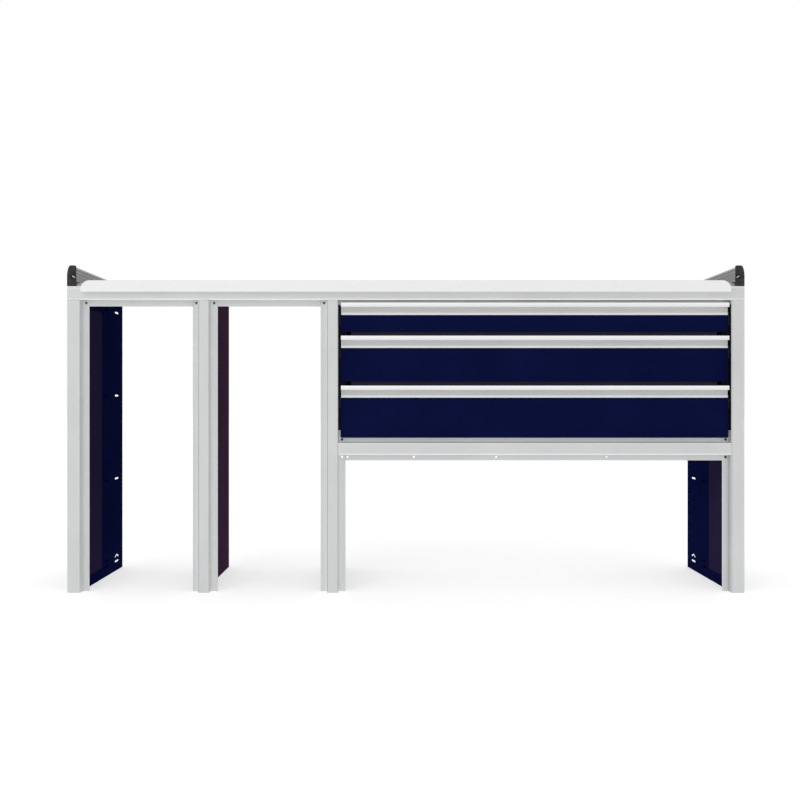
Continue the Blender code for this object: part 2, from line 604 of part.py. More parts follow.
def make_drawer(number, handle_top, front_bottom, box_low, box_high, runner_z):
    make_tray(number, box_low, box_high)
    make_front(number, handle_top, front_bottom)
    make_handle(number, handle_top)
    make_latch_bar(number, handle_top)
    make_runners(number, runner_z)


def main():
    for obj in list(bpy.data.objects):
        bpy.data.objects.remove(obj, do_unlink=True)
    make_posts()
    make_top_front_rail()
    make_lower_front_rail()
    make_top_rear_rail()
    make_rear_panel()
    make_end_sides()
    make_middle_sides()
    make_corner_screws()
    make_worktop()
    make_gallery()
    make_carriers()
    for number, sizes in enumerate(DRAWERS, 1):
        make_drawer(number, *sizes)


main()
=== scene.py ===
"""Workbench with drawers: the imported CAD, dressed with rounded extrusions, sheet metal and fittings."""
import json
import math

import bmesh
import bpy
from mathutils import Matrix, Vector

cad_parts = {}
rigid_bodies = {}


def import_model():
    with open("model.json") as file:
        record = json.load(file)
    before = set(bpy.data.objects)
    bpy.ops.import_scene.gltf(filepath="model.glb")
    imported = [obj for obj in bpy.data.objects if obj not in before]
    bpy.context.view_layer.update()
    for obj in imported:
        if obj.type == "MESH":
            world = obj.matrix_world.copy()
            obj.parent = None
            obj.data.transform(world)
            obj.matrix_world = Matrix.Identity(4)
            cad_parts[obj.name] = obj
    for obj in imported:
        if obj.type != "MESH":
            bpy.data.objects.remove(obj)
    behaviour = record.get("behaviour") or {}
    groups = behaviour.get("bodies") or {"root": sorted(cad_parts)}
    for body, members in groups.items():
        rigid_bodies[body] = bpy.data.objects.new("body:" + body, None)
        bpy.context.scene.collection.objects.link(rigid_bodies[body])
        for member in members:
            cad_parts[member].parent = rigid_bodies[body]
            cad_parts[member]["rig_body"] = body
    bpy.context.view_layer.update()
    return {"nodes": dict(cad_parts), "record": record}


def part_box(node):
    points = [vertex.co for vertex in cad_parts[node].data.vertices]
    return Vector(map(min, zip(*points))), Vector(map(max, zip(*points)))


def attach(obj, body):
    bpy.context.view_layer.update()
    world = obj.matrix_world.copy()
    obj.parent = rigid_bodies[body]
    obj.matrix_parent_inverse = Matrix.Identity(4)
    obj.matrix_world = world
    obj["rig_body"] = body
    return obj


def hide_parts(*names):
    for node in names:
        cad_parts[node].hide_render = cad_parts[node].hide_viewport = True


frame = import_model()
NODES = frame["nodes"]
SLOTS = {part["node"]: part["material_slot"] for part in frame["record"]["subparts"]}
MM = 0.001
AXES = {"X": (1, 2), "Y": (0, 2), "Z": (0, 1)}

# Distances within which two vertices are one, and a point lies on a face.
SAME = 1e-6
ALONG_FACE = 1e-5

# What there is several of: numbers as in the names, sides with the sign of their X.
POSTS = (1, 2, 3, 4)
BAY_POSTS = (3, 4)
DRAWERS = (1, 2, 3)
SIDES = (("left", -1), ("right", 1))

# Planes that the pieces share.
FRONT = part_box("front_post_1")[0].y
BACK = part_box("worktop")[1].y
SCREW_Z = (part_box("corner_screw_1")[0].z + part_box("corner_screw_1")[1].z) / 2

# Where cross-sections of the CAD are taken, clear of its holes and cut-outs.
POST_Z = 0.2
PANEL_Z = 0.4
OPEN_BAY_X = -0.4
DRAWER_BAY_X = 0.4
LOWER_RAIL_X = 0.45
MIDDLE = 0.0

# The posts' boxes, and how far the face of their flanges lies behind their fronts.
END_BOX = 38.5 * MM
HALF_BOX = 16.5 * MM
FLANGE_FACE = 21.9 * MM

# Holes: how far the screws stand from a post's box, the radii, the heights in the lower rail, and the
# places of that rail's own holes along X.
INSET = 10.8 * MM
SCREW_HOLE = 2.6 * MM
BOLT_HOLE = 3.5 * MM
UNDER_TOP = 8.2 * MM
OVER_BASE = 10.5 * MM
RAIL_HOLES = (-0.1766, 0.0247, 0.2743, 0.6087)

# The clearance where one piece is cut back to make room for another.
GAP = 0.3 * MM

# Rounded outlines: points without edge wear or painted highlight stand a margin off the corners, a rounding
# takes at most this share of an edge, and shallow turns stay; beside an edge as short as an arc's step they
# are part of a rounding.
EDGE_MARK_MARGIN = 1.6 * MM
EDGE_SHARE = 0.42
SHALLOW = math.radians(20)
ARC_STEP = 2.5 * MM

# Screws: the lobes of their sockets, and how worn they are all over.
SOCKET_LOBES = 6
SCREW_WEAR = 0.4

# Finishes: how deep their bumps are, the range that most noise lies in, and an even stretch.
FINE, FINER = 0.2 * MM, 0.1 * MM
NOISE_RANGE = (0.36, 0.64)
EVEN = (1, 1, 1)


# ---- node materials ----
def node(tree, kind, ins=None, **settings):
    """A shader node with its settings, and its inputs given as values or as sockets."""
    made = tree.nodes.new("ShaderNode" + kind)
    for key, value in settings.items():
        setattr(made, key, value)
    for key, value in (ins or {}).items():
        if isinstance(value, bpy.types.NodeSocket):
            tree.links.new(value, made.inputs[key])
        else:
            made.inputs[key].default_value = value
    return made


def noise(tree, scale, stretch=EVEN, detail=4.0, offset=0.0):
    """Noise in the piece's own coordinates, its features about 1/scale metres across."""
    place = node(tree, "Mapping", {"Vector": node(tree, "TexCoord").outputs["Object"],
                                   "Location": (offset, offset, offset), "Scale": stretch})
    return node(tree, "TexNoise", {"Vector": place.outputs[0], "Scale": scale, "Detail": detail,
                                   "Roughness": 0.55}).outputs["Fac"]


def spread(tree, value, low, high, to_low, to_high):
    """The value, with its range from low to high spread over another one."""
    return node(tree, "MapRange", {"Value": value, "From Min": low, "From Max": high,
                                   "To Min": to_low, "To Max": to_high}).outputs["Result"]


def blend(tree, factor, first, second):
    """A mix of two colours; each of the three is a value or a socket."""
    mix = node(tree, "Mix", data_type="RGBA")
    for socket, value in ((mix.inputs[0], factor), (mix.inputs[6], first), (mix.inputs[7], second)):
        if isinstance(value, bpy.types.NodeSocket):
            tree.links.new(value, socket)
        else:
            socket.default_value = (*value, 1.0) if isinstance(value, tuple) else value
    return mix.outputs[2]


def product(tree, first, second):
    """Two values multiplied."""
    return node(tree, "Math", {0: first, 1: second}, operation="MULTIPLY").outputs[0]


def edge_wear(tree, amount, least):
    """Wear along the edges that the meshes mark in their edge attribute, broken down to the least share; on
    the aluminium it is partly painted highlight.
    """
    edge = node(tree, "Attribute", attribute_name="edge").outputs["Fac"]
    rub_and_highlight = spread(tree, noise(tree, 90.0, detail=5.0, offset=3.0), 0.42, 0.6, least, 1.0)
    return product(tree, product(tree, edge, rub_and_highlight), amount)


def surface(name, light, dark, worn_and_lit, rough, grain, bump, metallic=0.0, wear=0.5, coat=0.0, cloud=5.0,
            gloss=0.5, least=0.3, nose=None):
    """A finish from the colours light, dark and worn_and_lit, this last both for edge wear and for painted
    highlight; nose is the colour of painted light that the nose attribute blends in.

    rough is (smoothest, roughest), grain is (scale, stretch, detail), bump is (strength, distance in metres).
    """
    mat = bpy.data.materials.new(name)
    mat.use_nodes = True
    tree = mat.node_tree
    shader = tree.nodes["Principled BSDF"]
    shader.inputs["Metallic"].default_value = metallic
    shader.inputs["Specular IOR Level"].default_value = gloss
    shader.inputs["Coat Weight"].default_value = coat
    shader.inputs["Coat Roughness"].default_value = 0.12
    fine = noise(tree, *grain)
    broad = noise(tree, cloud, detail=3.0, offset=7.0)
    halves = {0: product(tree, fine, 0.5), 1: product(tree, broad, 0.5)}
    both = node(tree, "Math", halves, operation="ADD").outputs[0]
    colour = blend(tree, spread(tree, both, *NOISE_RANGE, 0.0, 1.0), dark, light)
    if nose:
        colour = blend(tree, node(tree, "Attribute", attribute_name="nose").outputs["Fac"], colour, nose)
    # Lighter edges: edge wear, and on the aluminium painted highlight as well.
    rub_and_highlight = edge_wear(tree, wear, least)
    tree.links.new(blend(tree, rub_and_highlight, colour, worn_and_lit), shader.inputs["Base Color"])
    tree.links.new(spread(tree, both, *NOISE_RANGE, *rough), shader.inputs["Roughness"])
    normal = node(tree, "Bump", {"Height": fine, "Strength": bump[0], "Distance": bump[1]})
    tree.links.new(normal.outputs[0], shader.inputs["Normal"])
    return mat


def aluminium(name, stretch, light=(0.675, 0.685, 0.685), dark=(0.60, 0.61, 0.615), worn_and_lit=0.98, wear=0.7,
              nose=None):
    """An anodised extrusion, brushed along its length; its lighter edges are partly wear and partly painted
    highlight.
    """
    return surface(name, light, dark, (worn_and_lit, worn_and_lit, worn_and_lit), (0.34, 0.46), (1.0, stretch), (0.12, FINE),
                   metallic=0.35, wear=wear, least=0.8, nose=nose)


def powder_coat(name, light, dark, worn_and_lit, rough=(0.42, 0.55), strength=0.18, **more):
    """The finely textured paint of a sheet."""
    return surface(name, light, dark, worn_and_lit, rough, (1300.0, EVEN, 2.0), (strength, FINE), **more)


LOOKS = {
    "anodised_x": aluminium("anodised_along_x", (9, 1100, 1100)),
    # The posts' lighter colour is painted light, blended in on their box walls and the flanges beside them.
    "anodised_z": aluminium("anodised_along_z", (1100, 1100, 9), wear=0.15, nose=(0.81, 0.82, 0.82)),
    "gallery": aluminium("gallery_along_y", (1100, 9, 1100), (0.315, 0.325, 0.325), (0.255, 0.26, 0.265),
                         worn_and_lit=0.5, wear=0.5),
    # The handle's lighter nose colour is a painted highlight.
    "handle": aluminium("anodised_handle", (9, 1100, 1100), (0.72, 0.72, 0.72), (0.66, 0.66, 0.66),
                        worn_and_lit=0.9, wear=0.35, nose=(0.95, 0.95, 0.95)),
    "umber": powder_coat("brown_navy_coat", (0.056, 0.028, 0.057), (0.043, 0.021, 0.045), (0.09, 0.07, 0.1),
                         gloss=0.0),
    # A lighter, browner coat than the navy panels, for the plates inside the end sides and their screws.
    "umber_dark": powder_coat("stiffener_coat", (0.024, 0.017, 0.050), (0.019, 0.013, 0.041),
                              (0.04, 0.035, 0.06), gloss=0.0),
    "navy": powder_coat("navy_powder_coat", (0.0046, 0.0072, 0.047), (0.0030, 0.0048, 0.036),
                        (0.03, 0.035, 0.08), gloss=0.0),
    # The skirt's coat is the tray's grey darkened: painted shade for the gap above the next handle.
    "skirt": powder_coat("dark_tray_coat", (0.023, 0.021, 0.034), (0.018, 0.017, 0.027), (0.06, 0.06, 0.08),
                         (0.45, 0.58), 0.15, wear=0.3, gloss=0.1),
    "tray": powder_coat("grey_powder_coat", (0.40, 0.41, 0.43), (0.35, 0.36, 0.38), (0.5, 0.5, 0.52),
                        (0.42, 0.54), 0.15),
    "white": surface("white_laminate", (0.86, 0.86, 0.855), (0.81, 0.81, 0.805), (0.9, 0.9, 0.9),
                     (0.34, 0.46), (900.0, EVEN, 3.0), (0.06, FINER), wear=0.3, cloud=4.0),
    "plastic": surface("black_moulding", (0.015, 0.015, 0.016), (0.009, 0.009, 0.010), (0.06, 0.06, 0.06),
                       (0.34, 0.5), (1600.0, EVEN, 2.0), (0.15, FINE), gloss=0.25),
    "black": surface("black_coat", (0.008, 0.007, 0.011), (0.005, 0.005, 0.007), (0.06, 0.06, 0.07),
                     (0.4, 0.55), (1200.0, EVEN, 2.0), (0.12, FINE), wear=0.3, gloss=0.05),
    "zinc": surface("bright_zinc", (0.62, 0.63, 0.66), (0.5, 0.51, 0.55), (0.75, 0.75, 0.76),
                    (0.2, 0.34), (1.0, (500, 12, 500)), (0.08, FINER), metallic=0.9, cloud=40.0),
    "label": surface("clear_label_strip", (0.55, 0.56, 0.56), (0.5, 0.51, 0.51), (0.7, 0.7, 0.7),
                     (0.08, 0.16), (300.0, EVEN, 2.0), (0.04, FINER), wear=0.3, coat=0.6),
    "screw": surface("black_zinc", (0.035, 0.035, 0.04), (0.02, 0.02, 0.023), (0.2, 0.2, 0.2),
                     (0.25, 0.4), (900.0, EVEN, 2.0), (0.1, FINER), metallic=0.8, wear=0.6),
}


def look_for(name):
    """The finish of a CAD node, by its material slot; the posts are brushed upwards."""
    return {"anodised": "anodised_z" if name.startswith("front_post") else "anodised_x",
            "gallery_aluminium": "gallery", "navy_sheet": "navy", "divider_sheet": "umber",
            "worktop_white": "white", "black_plastic": "plastic", "black_steel": "black",
            "zinc_steel": "zinc", "tray_grey": "tray", "label_clear": "label",
            "screw_black": "screw"}[SLOTS[name]]


# ---- meshes ----
def finish(name, bm, look, slot, body, *replaced, sharp=40.0):
    """A mesh with its finish, that rides on a body and stands for CAD nodes; sharp is in degrees."""
    bm.normal_update()
    bmesh.ops.recalc_face_normals(bm, faces=bm.faces)
    mesh = bpy.data.meshes.new(name)
    bm.to_mesh(mesh)
    bm.free()
    mesh.shade_smooth()
    mesh.set_sharp_from_angle(angle=math.radians(sharp))
    obj = bpy.data.objects.new(name, mesh)
    bpy.context.scene.collection.objects.link(obj)
    mesh.materials.append(LOOKS[look])
    normals = obj.modifiers.new("flat faces", "WEIGHTED_NORMAL")
    normals.keep_sharp = True
    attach(obj, body)
    if replaced:
        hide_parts(*replaced)
    return obj


def mark_painted_light(obj, share):
    """Writes share(place of the vertex), kept between 0 and 1, into the nose attribute: how much painted
    light goes there.
    """
    mark = obj.data.attributes.new("nose", "FLOAT", "POINT")
    for vert, value in zip(obj.data.vertices, mark.data):
        value.value = min(1.0, max(0.0, share(vert.co)))


def rectangle(low_u, low_v, high_u, high_v):
    """Its four corners, in their order round it."""
    corners = ((low_u, low_v), (high_u, low_v), (high_u, high_v), (low_u, high_v))
    return [Vector(corner) for corner in corners]


def rounded(points, radius, steps=3):
    """The outline with its corners rounded, as (point, edge) pairs; edge is 1 on outward roundings."""
    out = []
    area = sum(points[i - 1].cross(points[i]) for i in range(len(points)))
    for i, corner in enumerate(points):
        before = points[i - 1] - corner
        after = points[(i + 1) % len(points)] - corner
        turn = math.pi - before.angle(after)
        proud = 1.0 if after.cross(before) * area > 0 else 0.0
        shallow = turn < SHALLOW
        if shallow and min(before.length, after.length) > ARC_STEP:
            out.append((corner, 0.0))
            continue
        room = EDGE_SHARE * min(before.length, after.length)
        reach = 0.0 if shallow else min(radius * math.tan(turn / 2), room)
        start = corner + before.normalized() * reach
        end = corner + after.normalized() * reach
        if before.length > 4 * EDGE_MARK_MARGIN:
            out.append((start + before.normalized() * EDGE_MARK_MARGIN, 0.0))
        for k in [0] if shallow else range(steps + 1):
            t = k / steps
            out.append((start * (1 - t) ** 2 + corner * 2 * t * (1 - t) + end * t * t, proud))
        if after.length > 4 * EDGE_MARK_MARGIN:
            out.append((end + after.normalized() * EDGE_MARK_MARGIN, 0.0))
    return out


def section(name, axis, at):
    """The outlines of a CAD node where a plane across the axis cuts it, the widest first."""
    bm = bmesh.new()
    bm.from_mesh(NODES[name].data)
    bmesh.ops.remove_doubles(bm, verts=bm.verts, dist=SAME)
    normal = Vector([1.0 if axis == a else 0.0 for a in "XYZ"])
    sliced = bmesh.ops.bisect_plane(bm, geom=[*bm.verts, *bm.edges, *bm.faces], plane_co=normal * at,
                                    plane_no=normal, clear_inner=True, clear_outer=True)
    u, v = AXES[axis]
    left = [e for e in sliced["geom_cut"] if isinstance(e, bmesh.types.BMEdge)]
    loops = []
    while left:
        edge = left.pop()
        first, vert = edge.verts
        loop = [first]
        while vert != first:
            loop.append(vert)
            step = next(e for e in vert.link_edges if e in left)
            left.remove(step)
            vert = step.other_vert(vert)
        points = [Vector((p.co[u], p.co[v])) for p in loop]
        kept = [p for i, p in enumerate(points)
                if abs((p - points[i - 1]).angle(points[(i + 1) % len(points)] - p, 0.0)) > math.radians(1)]
        loops.append(kept)
    bm.free()
    return sorted(loops, key=lambda pts: -max(p.x for p in pts) + min(p.x for p in pts))


def skin(bm, rings, closed=True):
    """Faces between each ring of vertices and the next, and over both ends if closed."""
    for low, high in zip(rings, rings[1:]):
        for i in range(len(low)):
            bm.faces.new((low[i - 1], low[i], high[i], high[i - 1]))
    if closed:
        bm.faces.new(rings[0])
        bm.faces.new(rings[-1])


def drawn(axis, loops, start, end, margin=MM, inset=0.0):
    """A solid drawn along an axis from outlines of (point, edge) pairs; its cut ends count as edges.

    inset is for sheets drawn through their thickness: only the rim of each face then counts as an edge.
    """
    bm = bmesh.new()
    mark = bm.verts.layers.float.new("edge")
    u, v = AXES[axis]
    along = "XYZ".index(axis)
    rims = []
    for outline in loops:
        rings = []
        for at in (start, start + margin, end - margin, end):
            ring = []
            for point, edge in outline:
                co = [0.0, 0.0, 0.0]
                co[u], co[v], co[along] = point.x, point.y, at
                vert = bm.verts.new(co)
                vert[mark] = 1.0 if at in (start, end) else edge
                ring.append(vert)
            rings.append(ring)
        skin(bm, rings, closed=False)
        rims.append((rings[0], rings[-1]))
    for end_rings in zip(*rims):
        if inset:
            face = bm.faces.new(end_rings[0])
            bm.normal_update()
            bmesh.ops.inset_region(bm, faces=[face], thickness=inset, use_even_offset=True)
            for vert in face.verts:
                vert[mark] = 0.0
        else:
            edges = [bm.edges.get((ring[i - 1], ring[i])) for ring in end_rings for i in range(len(ring))]
            bmesh.ops.triangle_fill(bm, use_beauty=True, edges=edges)
    return bm


def redrawn(name, axis, at, radius, look=None, change=None):
    """A CAD extrusion drawn again with rounded corners; change edits its outlines first."""
    loops = section(name, axis, at)
    if change:
        loops = change(loops)
    along = "XYZ".index(axis)
    low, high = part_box(name)
    bm = drawn(axis, [rounded(points, radius) for points in loops], low[along], high[along])
    return finish(name + "_shape", bm, look or look_for(name), SLOTS[name], NODES[name]["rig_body"], name)


def softened(name, width):
    """A CAD sheet with its long edges rounded."""
    long, steep = 0.06, 0.6
    bm = bmesh.new()
    bm.from_mesh(NODES[name].data)
    bmesh.ops.remove_doubles(bm, verts=bm.verts, dist=SAME)
    bmesh.ops.dissolve_limit(bm, angle_limit=math.radians(0.5), verts=bm.verts, edges=bm.edges)
    long_edges = [e for e in bm.edges if e.calc_length() > long and e.calc_face_angle(0) > steep]
    bmesh.ops.bevel(bm, geom=long_edges, offset=width, segments=2, profile=0.5, affect="EDGES")
    bmesh.ops.triangulate(bm, faces=[f for f in bm.faces if len(f.verts) > 4])
    return finish(name + "_shape", bm, look_for(name), SLOTS[name], NODES[name]["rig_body"], name)


def round_rims(bm, planes, width, segments):
    """Rounds the sharp edges that lie in any of these planes across Y."""
    steep = 0.5
    rims = [e for e in bm.edges if e.calc_face_angle(0) > steep
            and any(all(abs(v.co.y - plane) < SAME for v in e.verts) for plane in planes)]
    bmesh.ops.bevel(bm, geom=rims, offset=width, segments=segments, profile=0.5, affect="EDGES")


def block(bm, low, high):
    """A plain block in bm; used only inside cutters."""
    made = bmesh.ops.create_cube(bm, size=1.0)["verts"]
    for vert in made:
        vert.co = Vector([(low[i] + high[i]) / 2 + vert.co[i] * (high[i] - low[i]) for i in range(3)])


def tube(bm, x, z, radius, front, back, sides=24):
    """A round bar along Y in bm; used only inside cutters."""
    made = bmesh.ops.create_cone(bm, cap_ends=True, segments=sides, radius1=radius, radius2=radius,
                                 depth=back - front)["verts"]
    for vert in made:
        vert.co = Vector((x + vert.co.x, (front + back) / 2 + vert.co.z, z + vert.co.y))


def cut(obj, bm):
    """Takes the closed bodies of bm out of obj for good."""
    bm.normal_update()
    bmesh.ops.recalc_face_normals(bm, faces=bm.faces)
    mesh = bpy.data.meshes.new("cutter")
    bm.to_mesh(mesh)
    bm.free()
    cutter = bpy.data.objects.new("cutter", mesh)
    bpy.context.scene.collection.objects.link(cutter)
    modifier = obj.modifiers.new("cut", "BOOLEAN")
    modifier.operation = "DIFFERENCE"
    modifier.solver = "EXACT"
    modifier.object = cutter
    obj.modifiers.move(len(obj.modifiers) - 1, 0)
    with bpy.context.temp_override(object=obj, active_object=obj, selected_objects=[obj]):
        bpy.ops.object.modifier_apply(modifier=modifier.name)
    bpy.data.objects.remove(cutter)


def drill(obj, holes, radius=SCREW_HOLE):
    """Round holes through the thin flanges at (X, Z)."""
    front, back = FRONT + 20 * MM, FRONT + 30 * MM
    bm = bmesh.new()
    for x, z in holes:
        tube(bm, x, z, radius, front, back)
    cut(obj, bm)


# ---- screws ----
def turned(bm, centre, direction, profile, sides=24):
    """A turned shape from (radius, distance along direction, lobes) rows; lobes makes a six-pointed star."""
    mark = bm.verts.layers.float.get("edge") or bm.verts.layers.float.new("edge")
    direction = Vector(direction)
    side = direction.orthogonal().normalized()
    up = direction.cross(side)
    rings = []
    for radius, along, lobes in profile:
        ring = []
        for k in range(sides):
            angle = 2 * math.pi * k / sides
            swell = 1 + lobes * math.cos(SOCKET_LOBES * angle)
            spoke = (side * math.cos(angle) + up * math.sin(angle)) * swell
            vert = bm.verts.new(Vector(centre) + direction * along + spoke * radius)
            vert[mark] = SCREW_WEAR
            ring.append(vert)
        rings.append(ring)
    skin(bm, rings)


def add_screw(bm, centre, direction, radius, height, shank=0.0):
    """A pan head with a six-lobed socket; direction points out of the head, and centre is under it."""
    profile = [(radius * 0.5, -shank, 0.0), (radius * 0.5, 0.0, 0.0)] if shank else []
    profile += [(radius, 0.0, 0.0), (radius, height * 0.35, 0.0), (radius * 0.93, height * 0.65, 0.0),
                (radius * 0.75, height * 0.88, 0.0), (radius * 0.52, height, 0.0),
                (radius * 0.4, height, 0.13), (radius * 0.38, height * 0.3, 0.13)]
    turned(bm, centre, direction, profile, sides=36)


def add_flush_screw(bm, centre, direction, radius):
    """A countersunk head level with the face it is in, with a six-lobed socket."""
    profile = [(radius * 0.45, -1.1 * MM, 0.0), (radius, -0.12 * MM, 0.0), (radius * 0.94, 0.0, 0.0),
               (radius * 0.5, 0.0, 0.0), (radius * 0.44, -0.04 * MM, 0.13), (radius * 0.4, -0.8 * MM, 0.13)]
    turned(bm, centre, direction, profile, sides=36)


def screws(name, look, slot, body, places, *replaced, add=add_screw):
    """One piece that holds several screws; each place has what add asks for after bm."""
    bm = bmesh.new()
    for place in places:
        add(bm, *place)
    return finish(name, bm, look, slot, body, *replaced, sharp=50.0)


# ---- posts and rails ----
def post_spans():
    """Where each front post stands along X: (flange start, flange end, box start, box end)."""
    spans = []
    for number in POSTS:
        low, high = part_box("front_post_%d" % number)
        middle = (low.x + high.x) / 2
        at_ends = {POSTS[0]: (low.x, low.x + END_BOX), POSTS[-1]: (high.x - END_BOX, high.x)}
        spans.append((low.x, high.x, *at_ends.get(number, (middle - HALF_BOX, middle + HALF_BOX))))
    return spans


def screw_columns(number):
    """X of the screw holes in a post's flanges."""
    flange_low, flange_high, box_low, box_high = post_spans()[number - 1]
    return [x for x in (box_low - INSET, box_high + INSET) if flange_low < x < flange_high]


def make_posts():
    """The posts, drilled in the bays' upper corners and, beside the drawers, for the lower rail."""
    lower_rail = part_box("lower_front_rail")
    for number in POSTS:
        post = redrawn("front_post_%d" % number, "Z", POST_Z, 1.0 * MM, change=scored)
        holes = [(x, SCREW_Z) for x in screw_columns(number)]
        if number in BAY_POSTS:
            x = screw_columns(number)[-1]
            holes.append((x, lower_rail[1].z - UNDER_TOP))
            drill(post, [(x, lower_rail[0].z + OVER_BASE)], BOLT_HOLE)
        drill(post, holes)
        if number != POSTS[-1]:
            # Painted light on the box's side walls and the flanges beside them, except on the last post.
            paint_wall_light(post, *post_spans()[number - 1][2:])


def paint_wall_light(post, box_low, box_high):
    """Paints light on the side walls of a post's box from behind its front, fading out across the flanges:
    painted light against the shade beside the box.
    """
    corner, rise, reach = 2.6 * MM, 10.0 * MM, 18.5 * MM

    def share(place):
        """How much painted light a place gets: 0 at the corner and at the end of the reach, 1 on the walls.
        """
        back = min(1.0, max(0.0, (place.y - FRONT - corner) / rise))
        away = max(0.0, box_low - place.x, place.x - box_high)
        return back * max(0.0, 1.0 - away / reach) ** 2

    mark_painted_light(post, share)


def scored(loops):
    """A line pressed in a post's face beside each edge that isn't an outer edge of the bench."""
    bench_end, narrow = 0.99, 20 * MM
    outline = []
    for i, corner in enumerate(loops[0]):
        outline.append(corner)
        after = loops[0][(i + 1) % len(loops[0])]
        across = after - corner
        if max(abs(corner.y - FRONT), abs(after.y - FRONT)) > ALONG_FACE or across.length < narrow:
            continue
        unit = across.normalized()
        lines = []
        for point, inward in ((corner, unit), (after, -unit)):
            sink, width = (1.8 * MM, 2.0 * MM) if inward.x > 0 else (1.1 * MM, 1.7 * MM)
            profile = ((0.2 * MM, 0.0), (0.4 * MM, sink), (width - 0.2 * MM, sink), (width, 0.0))
            lines.append([point + inward * along + Vector((0.0, down)) for along, down in profile]
                         if abs(point.x) < bench_end else [])
        outline += lines[0] + lines[1][::-1]
    return [outline, *loops[1:]]


def make_rails():
    """The three rails; those in front are notched for the posts and drilled for their screws."""
    top = redrawn("top_front_rail", "X", OPEN_BAY_X, 0.8 * MM)
    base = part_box("top_front_rail")[0].z - 3 * MM
    post_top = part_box("front_post_2")[1].z + GAP
    spans = post_spans()
    # A span holds the start and end of the post's flanges, and then those of its box.
    flange, box = 0, 2
    for part, front, back in ((flange, 19 * MM, 24.8 * MM), (box, 18 * MM, 31 * MM)):
        bm = bmesh.new()
        for span in spans:
            start, end = span[part] - GAP, span[part + 1] + GAP
            block(bm, (start, FRONT + front, base), (end, FRONT + back, post_top))
        cut(top, bm)
    drill(top, [(x, SCREW_Z) for number in POSTS for x in screw_columns(number)])
    make_lower_rail(spans)
    redrawn("top_rear_rail", "X", MIDDLE, 0.8 * MM)
    for word, side in SIDES:
        make_rail_plug(word, side)


def make_lower_rail(spans):
    """The rail under the drawers, cut back behind the flanges of the posts beside them."""
    lower = redrawn("lower_front_rail", "X", LOWER_RAIL_X, 0.8 * MM)
    low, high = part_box("lower_front_rail")
    left_flange_end, right_flange_start = spans[2][1], spans[3][0]
    front, back, over = FRONT + 21.7 * MM, FRONT + 24.8 * MM, 2 * MM
    bm = bmesh.new()
    for start, end in ((low.x - over, left_flange_end + GAP), (right_flange_start - GAP, high.x + over)):
        block(bm, (start, front, low.z - over), (end, back, high.z + over))
    cut(lower, bm)
    ends = [screw_columns(3)[-1], screw_columns(4)[0]]
    drill(lower, [(x, low.z + OVER_BASE) for x in (*RAIL_HOLES, *ends)], BOLT_HOLE)
    drill(lower, [(x, high.z - UNDER_TOP) for x in ends])


def make_rail_plug(word, side):
    """The moulded plug in the open end of the top front rail, sunk a little and dished.

    Its rings are given as (share of the chamber's size, depth in millimetres).
    """
    chamber = section("top_front_rail", "X", OPEN_BAY_X)[1]
    end = max(abs(corner.x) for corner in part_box("top_front_rail"))
    middle = sum(chamber, Vector((0, 0))) / len(chamber)
    bm = bmesh.new()
    mark = bm.verts.layers.float.new("edge")
    rings = []
    for share, depth in ((0.97, 8.0), (0.97, 0.9), (0.93, 0.3), (0.74, 0.3), (0.7, 1.2)):
        ring = []
        for point, edge in rounded([middle + (p - middle) * share for p in chamber], 1.5 * MM):
            ring.append(bm.verts.new((side * (end - depth * MM), point.x, point.y)))
            ring[-1][mark] = edge * 0.5
        rings.append(ring)
    skin(bm, rings)
    finish("rail_plug_" + word, bm, "plastic", "black_plastic", "root")


def make_corner_screws():
    """The four black screws in the upper corners of the open bays."""
    radius, height, shank = 3.4 * MM, 2.1 * MM, 5.5 * MM
    for number in POSTS:
        name = "corner_screw_%d" % number
        low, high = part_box(name)
        centre = ((low.x + high.x) / 2, FRONT + FLANGE_FACE, (low.z + high.z) / 2)
        screws(name + "_head", "screw", SLOTS[name], "root",
               [(centre, (0, -1, 0), radius, height, shank)], name)


def make_rail_screws():
    """The black screws that hold the lower front rail to the posts' flanges."""
    radius, height, shank = 3.9 * MM, 2.1 * MM, 5.0 * MM
    low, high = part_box("lower_front_rail")
    left, right = screw_columns(3)[-1], screw_columns(4)[0]
    upper, lower = high.z - UNDER_TOP, low.z + OVER_BASE
    screws("rail_screws", "screw", "screw_black", "root",
           [((x, FRONT + FLANGE_FACE, z), (0, -1, 0), radius, height, shank)
            for x, z in ((left, upper), (right, upper), (right, lower))])


# ---- sheets ----
def make_sides():
    """The inner sheets of the sides, the rear panel, and each end side's cover and stiffener."""
    for number in (1, 4):
        softened("side_panel_%d" % number, 0.35 * MM)
    for number in (2, 3):
        redrawn("side_panel_%d" % number, "Z", PANEL_Z, 0.9 * MM)
    redrawn("rear_panel", "X", DRAWER_BAY_X, 0.9 * MM)
    for word, side in SIDES:
        make_cover(word, side)
        make_stiffener(word, side)


def flat_sheet(outline, low_x, high_x):
    """A thin sheet across X; only the rims of its two faces count as edges."""
    return drawn("X", [outline], low_x, high_x, margin=0.3 * MM, inset=1.5 * MM)


def make_stiffener(word, side):
    """The plate inside an end side, behind the post, on which the bay's fittings are fixed; its coat is
    lighter and browner than the panel's.
    """
    low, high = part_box("side_panel_1" if side < 0 else "side_panel_4")
    panel = high.x if side < 0 else low.x
    touching, proud = panel - side * 0.1 * MM, panel - side * 1.1 * MM
    radius, height = 4.0 * MM, 1.8 * MM
    corners = rectangle(low.y + 0.5 * MM, low.z + 36 * MM, low.y + 157.5 * MM, high.z - 45 * MM)
    bm = flat_sheet(rounded(corners, 3.0 * MM, steps=4), *sorted((touching, proud)))
    finish("stiffener_" + word, bm, "umber_dark", "navy_sheet", "root")
    columns = (low.y + 90 * MM, low.y + 145 * MM)
    rows = (low.z + 60 * MM, (low.z + high.z) / 2, high.z - 70 * MM)
    places = [((proud, y, z), (-side, 0, 0), radius, height) for y in columns for z in rows]
    screws("stiffener_screws_" + word, "umber_dark", "screw_black", "root", places)


